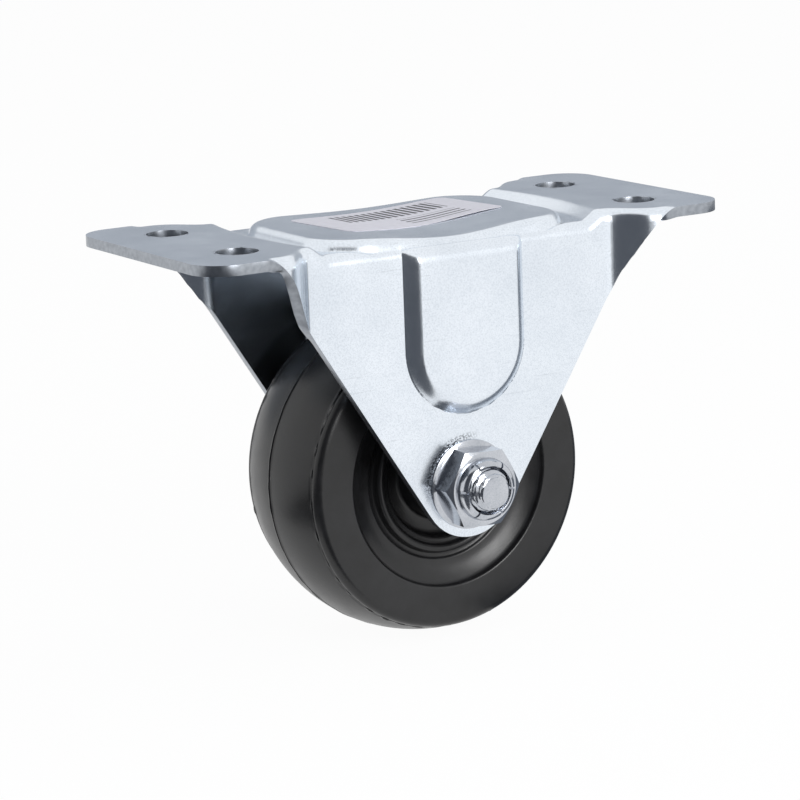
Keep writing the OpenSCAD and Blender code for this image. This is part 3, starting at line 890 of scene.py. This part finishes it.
def buildStudio():
    scene = bpy.context.scene
    scene.view_settings.view_transform = "Standard"
    bpy.ops.mesh.primitive_circle_add(vertices=96, radius=6000 * mm, fill_type="NGON",
                                      location=(0, 0, wheelLow.z - 0.0002))
    floor = bpy.context.object
    floor.name = "floor"
    material = bpy.data.materials.new("studio floor")
    material.use_nodes = True
    tree = material.node_tree
    shader = tree.nodes["Principled BSDF"]
    shader.inputs["Base Color"].default_value = hexColour("#fafafa")
    shader.inputs["Roughness"].default_value = 0.9
    shader.inputs["Specular IOR Level"].default_value = 0.1
    glow = addNode(tree, "ShaderNodeEmission", Strength=1.0)
    blend = addNode(tree, "ShaderNodeMixShader", {0: seenPart(tree, 0.96), 1: shader.outputs[0], 2: glow.outputs[0]})
    tree.links.new(blend.outputs[0], tree.nodes["Material Output"].inputs["Surface"])
    floor.data.materials.append(material)
    world = bpy.data.worlds.new("studio")
    scene.world = world
    world.use_nodes = True
    tree = world.node_tree
    sky = addNode(tree, "ShaderNodeMix", {"Factor": seenPart(tree, 1.0)}, data_type="RGBA")
    sky.inputs["A"].default_value = hexColour("#b4b7ba")
    sky.inputs["B"].default_value = (1, 1, 1, 1)
    tree.links.new(sky.outputs["Result"], tree.nodes["Background"].inputs["Color"])
    # A dark room in front on the left with its dark floor, and grey ones low down behind
    addCard("dark_side", standing((-330, -60), (-110, -330), -96, 330), "#55585e")
    addCard("dark_floor", [(-700, -600, -95), (-22, -600, -95), (-700, -36, -95), (-22, -36, -95)], "#55585e")
    addCard("dark_floor_left", [(-700, -36, -95), (-85, -36, -95), (-700, 60, -95), (-85, 60, -95)], "#55585e")
    addCard("grey_wall", standing((-500, 1000), (1500, 500), 12, 430), "#a8adb5")
    addCard("grey_floor", [(14, -34, -95), (700, -250, -95), (14, 420, -95), (800, 420, -95)], "#747a83")
    addLamp("key", (60, -900, 330), (0, 0, -50), (420, 420), 5)
    # The two wide lamps light the rubber and the paper, and don't burn out the plating
    for name, place, size, power in (("overhead", (600, -300, 1000), 1200, 4), ("fill", (900, -700, 250), 900, 2)):
        addLamp(name, place, (0, 0, -40), (size, size), power).visible_glossy = False


placeCamera()
buildStudio()

zincSheet = zincPlate("bright zinc plate on pressed sheet", 0.22, 22, "#eef4fb", "#e2e9f1", marked=0.08, nutShaded=True)
zincBolt = zincPlate("bright zinc plate on fasteners", 0.15, 8, "#cfd2d8", "#b6bac1")
drawnSteel = zincPlate("plain drawn steel tube", 0.3, 6, "#b9bcbf", "#a3a7aa")
cutRim = shearedSteel()
rubber = hardRubber()
paper = printedPaper()

pressedFrame = finishPiece(buildFrame(), [zincSheet, cutRim], 30)
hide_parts("frame")
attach(pressedFrame, "fork")

rubberWheel = finishPiece(buildWheel(), [rubber], 50)
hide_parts("wheel")
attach(rubberWheel, "wheel")

axleBolt = finishPiece(buildBolt(), [zincBolt], 30)
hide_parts("axle_bolt")
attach(axleBolt, "fork")

lockNut = finishPiece(buildNut(), [zincBolt], 30)
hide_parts("lock_nut")
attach(lockNut, "fork")

crownLabel = finishPiece(buildLabel(), [paper], 40)
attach(crownLabel, "fork")

sleeve = frame["nodes"]["axle_sleeve"]
sleeve.data.materials.clear()
sleeve.data.materials.append(drawnSteel)
